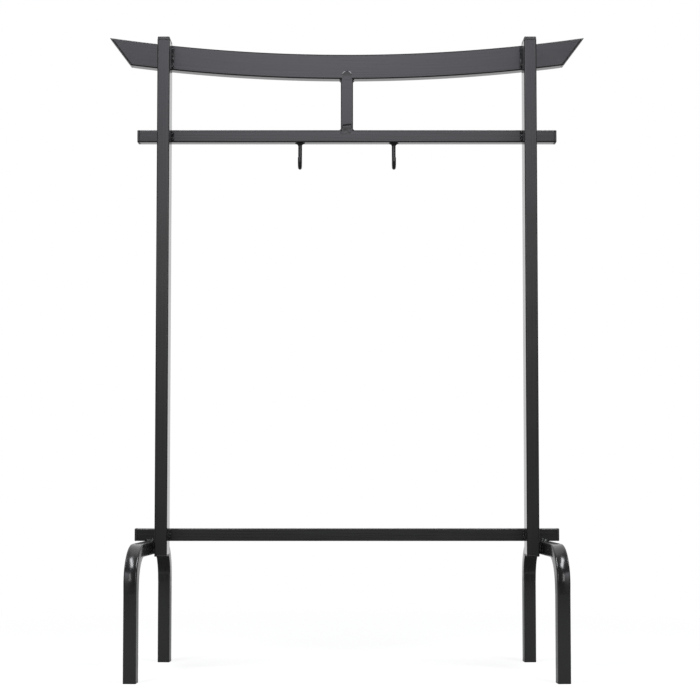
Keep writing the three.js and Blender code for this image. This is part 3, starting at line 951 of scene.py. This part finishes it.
for side, sign in SIDES:
    node = f"{side}_hook"
    hook_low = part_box(node)[0]
    root = hook_root(side)
    limb_y = hook_low.y + rod_radius
    bend = (root.y - limb_y) / 2
    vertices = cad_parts[node].data.vertices
    tip_z = max(v.co.z for v in vertices if v.co.y < limb_y + rod_radius)
    cradle = Vector((root.x, limb_y + bend, hook_low.z + rod_radius + bend))
    rings = [round_ring(root, Y_AXIS, rod_radius)]
    for i in range(cradle_steps + 1):
        angle = math.pi * i / cradle_steps
        outward = Vector((0, math.cos(angle), -math.sin(angle)))
        rings.append(round_ring(cradle + outward * bend, outward, rod_radius))
    for inset, level in rolled_edge(tip_edge, tip_z, tip_steps):
        rings.append(round_ring(Vector((root.x, limb_y, level)), -Y_AXIS, rod_radius - inset))
    make_piece(f"{side}_hook_rod", rings, coated_rod, node)
    print(node, "tip height in mm:", round(tip_z / MM, 1))

# %% [markdown]
# Each hook is held by one hasty spot of weld. It spreads wider along the bar than across it, and it runs
# down the rod in a hollow curve. It is a turned form whose radius wavers with noise, so that no two
# sides are alike.

# %% Welds round the hooks
puddle_reach = (10.2 * MM, 8.2 * MM)
puddle_height = 5 * MM
puddle_sides = 48
puddle_seed = 3.0
puddle_profile_shares = [(1.0, 0.0), (0.97, 0.1), (0.86, 0.19), (0.66, 0.27), (0.45, 0.36), (0.3, 0.47),
                         (0.17, 0.6), (0.07, 0.78), (0.0, 1.0)]
waver_waves = 1.6
waver_share = 0.3
fine_waves = 4.5
fine_down_waves = 3
fine_seed = 5
fine_share = 0.12
sag_share = 0.25


def puddle(name, root, seed):
    """A spot of weld under the bar, round the root of a rod."""
    rings = []
    for out, down in puddle_profile_shares:
        ring = []
        for i in range(puddle_sides):
            angle = -math.tau * i / puddle_sides
            spoke = Vector((math.cos(angle), math.sin(angle), 0))
            waver = noise.noise(spoke * waver_waves + Vector((seed, down, 0)))
            fine = noise.noise(spoke * fine_waves + Vector((seed, down * fine_down_waves, fine_seed)))
            stretch = math.hypot(spoke.x * puddle_reach[0], spoke.y * puddle_reach[1])
            past = (stretch - rod_radius) * out * (1 + waver_share * waver + fine_share * fine)
            sag = puddle_height * down * (1 + sag_share * waver)
            radius = min(rod_radius + past, puddle_reach[0])
            ring.append(root + spoke * radius - Z_AXIS * sag)
        rings.append(ring)
    make_piece(name, rings, coated_weld, even=False)


for side, sign in SIDES:
    puddle(f"{side}_hook_root_weld", hook_root(side), puddle_seed + sign)
print("weld spots:", len(SIDES))

# %% [markdown]
# A weld bead is a row of small pools of metal, each frozen over the one before. Seen close it has
# crescent ripples, its width wanders, and its ends are rounded. Here the bead is a fan of points in the
# corner between two faces, repeated along the seam. The ripple bends with the angle of the fan, and
# slow noise moves the width. The nodes in the frame say where each bead lies and how long it is: the
# corner of a bead is the side of its box that touches both faces.

# %% Helper for weld beads
bead_sides = 14
bead_step = 0.5 * MM
bead_fill = 0.5
bead_level = 0.9
root_sink_share = 0.6
root_lift = 0.05 * MM
end_size = 0.12
end_bluntness = 1.3
ripple_pitch = 3.1 * MM
ripple_bow = 0.45
ripple_share = 0.13
ripple_sharpness = 0.7
ripple_middle = 0.8
wander_share = 0.34
wander_middle = 0.15
wanders_per_metre = 170
wanders_round = 1.6
wander_seed_step = 7
grain_share = 0.2
grains_per_metre = 900
grains_round = 7
grain_seed_step = 3


def bead_radius(run, share, seed):
    """How far a bead reaches at a place along it and round its fan, as a share of its full reach."""
    fan = math.pi / 2 * share
    flat = math.cos(math.pi / 4) / math.cos(fan - math.pi / 4)
    fill = flat + (1 - flat) * bead_fill
    crescent = run / ripple_pitch + ripple_bow * math.sin(math.pi * share) + seed
    ripple = ripple_share * (abs(math.sin(math.pi * crescent)) ** ripple_sharpness - ripple_middle)
    slow = noise.noise(Vector((run * wanders_per_metre, share * wanders_round, seed * wander_seed_step)))
    wander = wander_share * (slow - wander_middle)
    fine = noise.noise(Vector((run * grains_per_metre, share * grains_round, seed * grain_seed_step)))
    return fill * min(1, bead_level + ripple + wander + grain_share * fine)


def weld_bead(node, along, out, up, seed, leg):
    """A bead in the corner between two faces, which run along out and along up."""
    centre, size = measure(node)
    length = abs(size.dot(along))
    reach = leg or min(abs(size.dot(out)), abs(size.dot(up)))
    corner = centre - out * abs(size.dot(out)) / 2 - up * abs(size.dot(up)) / 2
    count = round(length / bead_step)
    rings = []
    for i in range(count + 1):
        run = length * i / count
        to_end = min(1, min(run, length - run) / reach * end_bluntness)
        taper = math.sqrt(1 - (1 - to_end) ** 2)
        place = corner + along * (run - length / 2)
        ring = [place - out * corner_radius * root_sink_share + up * root_lift]
        for j in range(bead_sides + 1):
            fan = math.pi / 2 * j / bead_sides
            radius = reach * bead_radius(run, j / bead_sides, seed) * (end_size + (1 - end_size) * taper)
            ring.append(place + out * radius * math.cos(fan) + up * radius * math.sin(fan))
        rings.append(ring)
    if along.dot(out.cross(up)) < 0:
        rings.reverse()
    make_piece(f"{node}_bead", rings, coated_weld, node, even=False)


# %% [markdown]
# There are twelve beads beside the posts, four at the strut and four at the legs. They are listed first,
# each with the direction it runs along and the two in which it grows. The beads of the posts and the
# strut are slim, and those of the legs fill the room that the frame gives them.

# %% Weld beads
post_bead_leg = 3.7 * MM
strut_bead_leg = 3 * MM
first_seed = 1.0
seed_step = 1.37

seams = []
for side, sign in SIDES:
    for rail in ("beam", "hanging_bar", "lower_bar"):
        for edge, way in (("outer", sign), ("inner", -sign)):
            seams.append((f"{side}_post_{rail}_{edge}_weld", Z_AXIS, X_AXIS * way, -Y_AXIS, post_bead_leg))
for side, sign in SIDES:
    for end, up in (("top", -Z_AXIS), ("bottom", Z_AXIS)):
        seams.append((f"strut_{end}_{side}_weld", Y_AXIS, X_AXIS * sign, up, strut_bead_leg))
    for end, out in (("front", -Y_AXIS), ("rear", Y_AXIS)):
        seams.append((f"{side}_leg_{end}_weld", X_AXIS, out, Z_AXIS, None))
for i, (node, along, out, up, leg) in enumerate(seams):
    weld_bead(node, along, out, up, first_seed + seed_step * i, leg)
print("weld beads:", len(seams))

# %% [markdown]
# On the front of the strut the welds were ground down. What is left of each is a low pad of metal that
# bridges the groove between the two tubes. A pad is a grid of points whose height over the face follows a
# formula, with a flat back that lies inside the wall of the tubes. A formula keeps its rim as thin as
# ground metal is, which a swept bead couldn't do.

# %% Helper for ground pads
pad_steps = 44
pad_back = 0.9 * MM
pad_sink = 0.12 * MM
pad_base = 0.2 * MM


def smooth_step(value, start, end):
    """Goes from 0 at the start to 1 at the end, with soft ends. The end may lie below the start."""
    share = min(1.0, max(0.0, (value - start) / (end - start)))
    return share * share * (3 - 2 * share)


def ground_pad(name, joint, span, spread, widening, round_level, rim, rise, relief):
    """A pad on the front faces, over a span of heights above and below a joint. It is as wide as the flat
    of the strut, spreads through its widening, and thins out at its rim and through its rise."""
    rings = []
    for row in range(pad_steps + 1):
        v = span[0] + (span[1] - span[0]) * row / pad_steps
        half_width = flat_half + spread * smooth_step(v, *widening)
        ring = []
        for column in range(pad_steps + 1):
            u = half_width * (2 * column / pad_steps - 1)
            inside = half_width - math.hypot(u, max(v - round_level, 0))
            height = smooth_step(inside, 0, rim) * smooth_step(v, *rise) * relief(u, v)
            ring.append(Vector((u, patch_y + pad_sink - height, joint + v)))
        ring += [Vector((u, patch_y + pad_back, joint + v)) for u in (half_width, -half_width)]
        rings.append(ring)
    make_piece(name, rings, powder_coat, even=False)
    print(name, "height in mm:", round((span[1] - span[0]) / MM, 1))


# %% [markdown]
# The upper pad ends in a round crest on the beam, with a hollow under it. The lower one has a slanted
# crest on the strut, and lumps that spread over the bar and die out below.

# %% Ground pads of the strut
upper_crest = 0.55 * MM
upper_crest_run = (5 * MM, 16 * MM)
upper_crest_width_share = 0.6
lower_crest = 0.5 * MM
lower_crest_run = (-3 * MM, 8 * MM)
lower_top = 14 * MM
lower_top_fall = 7 * MM
lower_slant = 0.12
lump_height = 0.35 * MM
lump_run = (4 * MM, -2 * MM)
lumps_per_metre = 150


def upper_relief(u, v):
    """Height of the upper pad over the face, away from its rim."""
    return pad_base + upper_crest * smooth_step(math.hypot(u * upper_crest_width_share, v), *upper_crest_run)


def lower_relief(u, v):
    """Height of the lower pad over the face, away from its rim."""
    top = lower_top + lower_slant * u
    crest = lower_crest * smooth_step(v, *lower_crest_run)
    lump = lump_height * noise.noise(Vector((u, 0, v)) * lumps_per_metre) * smooth_step(v, *lump_run)
    return smooth_step(v, top, top - lower_top_fall) * (pad_base + crest + lump)


ground_pad("strut_upper_ground_weld", strut_high.z, span=(-6 * MM, 17.5 * MM), spread=11 * MM - flat_half,
           widening=(0, 2 * MM), round_level=6 * MM, rim=1.7 * MM, rise=(-6 * MM, -1 * MM),
           relief=upper_relief)
ground_pad("strut_lower_ground_weld", strut_low.z, span=(-13 * MM, 16 * MM), spread=5 * MM,
           widening=(0, -6 * MM), round_level=16 * MM, rim=2.2 * MM, rise=(-13 * MM, -5 * MM),
           relief=lower_relief)
